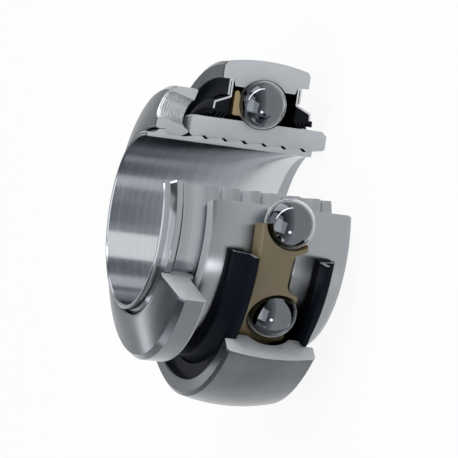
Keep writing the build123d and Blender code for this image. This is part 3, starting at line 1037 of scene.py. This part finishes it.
def honed_bore_steel():
    """The sleeve's honed bore, its reflections drawn into bands along the bore; its colour, paler
    than the outside, is painted light against the bore's shade.
    """
    material, tree, shader, place = start_finish("honed_bore_steel", METAL)
    drawn_round(tree, shader, place)
    marks = round_the_axis(tree, place)
    # Painted light: a paler colour than the sleeve's outside lightens the shaded bore.
    spread(tree, shader, marks, TURNING, ("#c6c9cd", "#ccced2"), (0.14, 0.2), 0.00002)
    return material


def turned_collar_steel():
    """Turned collar: satin steel whose tool marks draw light into streaks."""
    material, tree, shader, place = start_finish("turned_collar_steel", METAL)
    drawn_round(tree, shader, place)
    marks = round_the_axis(tree, place)
    spread(tree, shader, marks, TURNING, ("#767a7f", "#7a7e83"), (0.22, 0.25), 0.00001)
    return material


def faced_end_steel():
    """Faced ends beside the collar: turned and left rough, and given the pale colour of the section
    faces as painted light, so that the shaded gap looks lit.
    """
    material, tree, shader, place = start_finish("faced_end_steel", METAL)
    marks = round_the_axis(tree, place)
    # Painted light: the pale section colour, far paler than the ring's and the collar's, lightens
    # the shaded gap.
    spread(tree, shader, marks, TURNING, ("#c6cacd", "#d1d4d7"), (0.72, 0.8), 0.001)
    return material


def tapped_thread_steel():
    """Freshly tapped thread: bright steel whose fine flanks shine softly."""
    material, tree, shader, place = start_finish("tapped_thread_steel", METAL)
    spread(tree, shader, place, TURNING, ("#d6d8da", "#e0e2e4"), (0.42, 0.5), 0.0005)
    return material


def black_oxide_steel():
    """Black oxide on the screw: near black with a dull oily gloss."""
    material, tree, shader, place = start_finish("black_oxide_steel", METAL)
    spread(tree, shader, place, TURNING, ("#2a2b2d", "#3a3b3e"), (0.32, 0.42), 0.001)
    return material


def lapped_ball_steel():
    """Lapped chrome steel ball: a dark clear mirror whose colour is painted bright towards its rim,
    a painted rim highlight.
    """
    material, tree, shader, place = start_finish("lapped_ball_steel", METAL)
    front = spread(tree, shader, place, LAPPING, ("#65696e", "#6a6e73"), (0.02, 0.04), 0.00002)
    # Painted highlight: towards the rim as the camera sees it, the colour turns near white and less
    # metallic.
    slant = add(tree, "ShaderNodeLayerWeight")
    painted_rim = add(tree, "ShaderNodeMapRange", {
        "Value": slant.outputs["Facing"], "From Min": PAINTED_RIM_FACING[0], "From Max": PAINTED_RIM_FACING[1],
        "To Min": 0.0, "To Max": PAINTED_RIM_SHARE})
    painted_rim_colour = add(tree, "ShaderNodeMix", {
        "Factor": painted_rim, 6: front, 7: linear("#eef0f2")}, data_type="RGBA")
    mirror = add(tree, "ShaderNodeMath", {0: painted_rim, 1: -PAINTED_RIM_DULLING, 2: 1.0},
                 operation="MULTIPLY_ADD")
    feed(tree, shader, {"Base Color": painted_rim_colour.outputs[2], "Metallic": mirror})
    return material


def moulded_cage_polyamide():
    """Moulded, glass-filled polyamide: tan, satin, with slight flow shading."""
    material, tree, shader, place = start_finish("moulded_cage_polyamide", POLYAMIDE)
    spread(tree, shader, place, FLOW, ("#6a5e45", "#74684d"), (0.42, 0.5), 0.01)
    return material


def cut_cage_polyamide():
    """The same polyamide where it is cut: drier and lighter."""
    material, tree, shader, place = start_finish("cut_cage_polyamide", POLYAMIDE)
    spread(tree, shader, place, CUT_GRAIN, ("#9c8c66", "#a8976f"), (0.6, 0.7), 0.01)
    return material


def coated_washer_sheet():
    """Pressed sheet with a blue-black coating: smooth and half glossy."""
    material, tree, shader, place = start_finish("coated_washer_sheet", COATING)
    spread(tree, shader, place, COATING_GRAIN, ("#10141b", "#141922"), (0.34, 0.4), 0.0003)
    return material


def bare_washer_edge():
    """Cut edge of the sheet: thin bright bare steel."""
    material, tree, shader, place = start_finish("bare_washer_edge", METAL)
    spread(tree, shader, place, SHEARING, ("#c6c8cc", "#d6d8db"), (0.4, 0.5), 0.001)
    return material


def moulded_lip_rubber():
    """Nitrile rubber from the mould: matt and nearly black."""
    material, tree, shader, place = start_finish("moulded_lip_rubber", RUBBER)
    spread(tree, shader, place, RUBBER_GRAIN, ("#101217", "#15171c"), (0.5, 0.62), 0.004)
    return material


def cut_lip_rubber():
    """Nitrile rubber where it is cut: a shade greyer and quite dull."""
    material, tree, shader, place = start_finish("cut_lip_rubber", RUBBER)
    spread(tree, shader, place, RUBBER_GRAIN, ("#1a1c21", "#22242a"), (0.65, 0.75), 0.006)
    return material


def pale_floor_paint():
    """Pale matt floor that the camera and the steel see as white, with the shadow kept on it."""
    material, tree, shader, _ = start_finish("pale_floor_paint", {
        "Base Color": linear("#eceded"), "Roughness": 0.9})
    ray = add(tree, "ShaderNodeLightPath")
    seen = add(tree, "ShaderNodeMath", {
        0: ray.outputs["Is Camera Ray"], 1: ray.outputs["Is Glossy Ray"]}, operation="MAXIMUM")
    seen = add(tree, "ShaderNodeMath", {
        0: seen, 1: ray.outputs["Is Transmission Ray"]}, operation="MAXIMUM")
    share = add(tree, "ShaderNodeMath", {0: seen, 1: FLOOR_WHITE}, operation="MULTIPLY")
    white = add(tree, "ShaderNodeEmission", {"Strength": 1.0})
    mixed = add(tree, "ShaderNodeMixShader", {0: share, 1: shader, 2: white})
    feed(tree, tree.nodes["Material Output"], {"Surface": mixed})
    return material


turning = turned_tree()
threading = threaded_tree()
cutting = ring_of_cutters_tree()
milled_steel = milled_section_steel()
race_steel = ground_race_steel()
ring_steel = ground_ring_steel()
sleeve_steel = polished_sleeve_steel()
bore_painted_light_steel = honed_bore_steel()
collar_steel = turned_collar_steel()
faced_painted_light_steel = faced_end_steel()
tapped_steel = tapped_thread_steel()
black_screw_steel = black_oxide_steel()
lapped_steel = lapped_ball_steel()
moulded_polyamide = moulded_cage_polyamide()
cut_polyamide = cut_cage_polyamide()
coated_sheet = coated_washer_sheet()
bare_sheet = bare_washer_edge()
moulded_rubber = moulded_lip_rubber()
cut_rubber = cut_lip_rubber()

outer_ring()
inner_ring()
stepped_sleeve()
locking_collar()
grub_screw()
cage()
for number in range(1, KEPT_COUNT + 1):
    ball(number)
seal("collar_side", washer_outline(), lip_outline())
seal("far_side", flipped(washer_outline()), flipped(lip_outline()))


# Camera, floor and light

CAMERA_AZIMUTH = 5.643     # degrees, 0 looks along +Y
CAMERA_ELEVATION = 19.567
CAMERA_ROLL = -82.94       # the photograph lays the bearing's axis nearly level
CAMERA_DISTANCE = 614.92
CAMERA_AIM = (0.385, 1.042, 2.81)
CAMERA_LENS = 232.33
CAMERA_SENSOR = 36.0
CAMERA_NEAR = 10.0         # nothing nearer is drawn
WORLD_SWEEP = ((0.0, "#dfe0e2"), (0.35, "#a3a6a9"), (0.7, "#5f6265"))   # height, colour
FLOOR_SIZE = 200.0         # metres, so that no other view finds its edge
LAMP_DISTANCE = 0.9        # metres

# Each lamp's azimuth, elevation, shape, width and height in metres, and watts
SOFTBOXES = {
    "overhead": (0.0, 90.0, "RECTANGLE", 1.2, 1.2, 3.2),
    "front": (-20.0, 60.0, "RECTANGLE", 0.9, 0.9, 2.8),
    "strip": (84.0, 38.0, "RECTANGLE", 0.07, 1.4, 2.6),
    "round": (-30.0, 12.0, "ELLIPSE", 0.2, 0.2, 0.6),
    "side": (265.0, 20.0, "RECTANGLE", 0.6, 0.2, 0.6),
    "rear": (201.0, 25.0, "RECTANGLE", 0.4, 0.09, 0.24),
    "section": (110.0, 30.0, "RECTANGLE", 0.9, 0.5, 2.4),
}


def direction(azimuth, elevation):
    """Unit vector towards a place seen from the object; azimuth 0 is -Y and 90 is +X."""
    a = math.radians(azimuth)
    e = math.radians(elevation)
    return Vector((math.sin(a) * math.cos(e), -math.cos(a) * math.cos(e), math.sin(e)))


def photo_camera():
    back = direction(CAMERA_AZIMUTH, CAMERA_ELEVATION)
    level = (-back).cross(Vector((0, 0, 1))).normalized()
    above = level.cross(-back)
    roll = math.radians(CAMERA_ROLL)
    right = level * math.cos(roll) + above * math.sin(roll)
    data = bpy.data.cameras.new("photo_camera")
    data.lens = CAMERA_LENS
    data.sensor_width = CAMERA_SENSOR
    data.clip_start = CAMERA_NEAR * MM
    camera = bpy.data.objects.new("photo_camera", data)
    bpy.context.collection.objects.link(camera)
    place = Matrix((right, back.cross(right), back)).transposed().to_4x4()
    place.translation = (Vector(CAMERA_AIM) + back * CAMERA_DISTANCE) * MM
    camera.matrix_world = place
    bpy.context.scene.camera = camera


def floor():
    mesh = bpy.data.meshes.new("floor")
    half = FLOOR_SIZE / 2
    corners = [(-half, -half), (half, -half), (half, half), (-half, half)]
    mesh.from_pydata([(x, y, floor_height) for x, y in corners], [], [(0, 1, 2, 3)])
    mesh.materials.append(pale_floor_paint())
    new_piece("floor", mesh)


def softbox(name, azimuth, elevation, shape, width, height, watts):
    data = bpy.data.lights.new(f"{name}_softbox", "AREA")
    data.shape = shape
    data.size = width
    data.size_y = height
    data.energy = watts
    lamp = bpy.data.objects.new(f"{name}_softbox", data)
    bpy.context.collection.objects.link(lamp)
    away = direction(azimuth, elevation)
    facing = away.to_track_quat("Z", "Y").to_matrix().to_4x4()
    lamp.matrix_world = Matrix.Translation(away * LAMP_DISTANCE) @ facing


def studio_world():
    """A soft room, lightest from the bearing's height down and darker overhead."""
    world = bpy.data.worlds.new("studio")
    world.use_nodes = True
    tree = world.node_tree
    aim = add(tree, "ShaderNodeTexCoord")
    height = add(tree, "ShaderNodeSeparateXYZ", {0: aim.outputs["Generated"]})
    sweep = add(tree, "ShaderNodeValToRGB", {0: height.outputs["Z"]})
    stops = sweep.color_ramp.elements
    while len(stops) < len(WORLD_SWEEP):
        stops.new(1.0)
    for stop, (level, colour) in zip(stops, WORLD_SWEEP):
        stop.position = level
        stop.color = linear(colour)
    feed(tree, tree.nodes["Background"], {"Color": sweep})
    bpy.context.scene.world = world


photo_camera()
floor()
studio_world()
for name, settings in SOFTBOXES.items():
    softbox(name, *settings)
bpy.context.scene.view_settings.view_transform = "Standard"
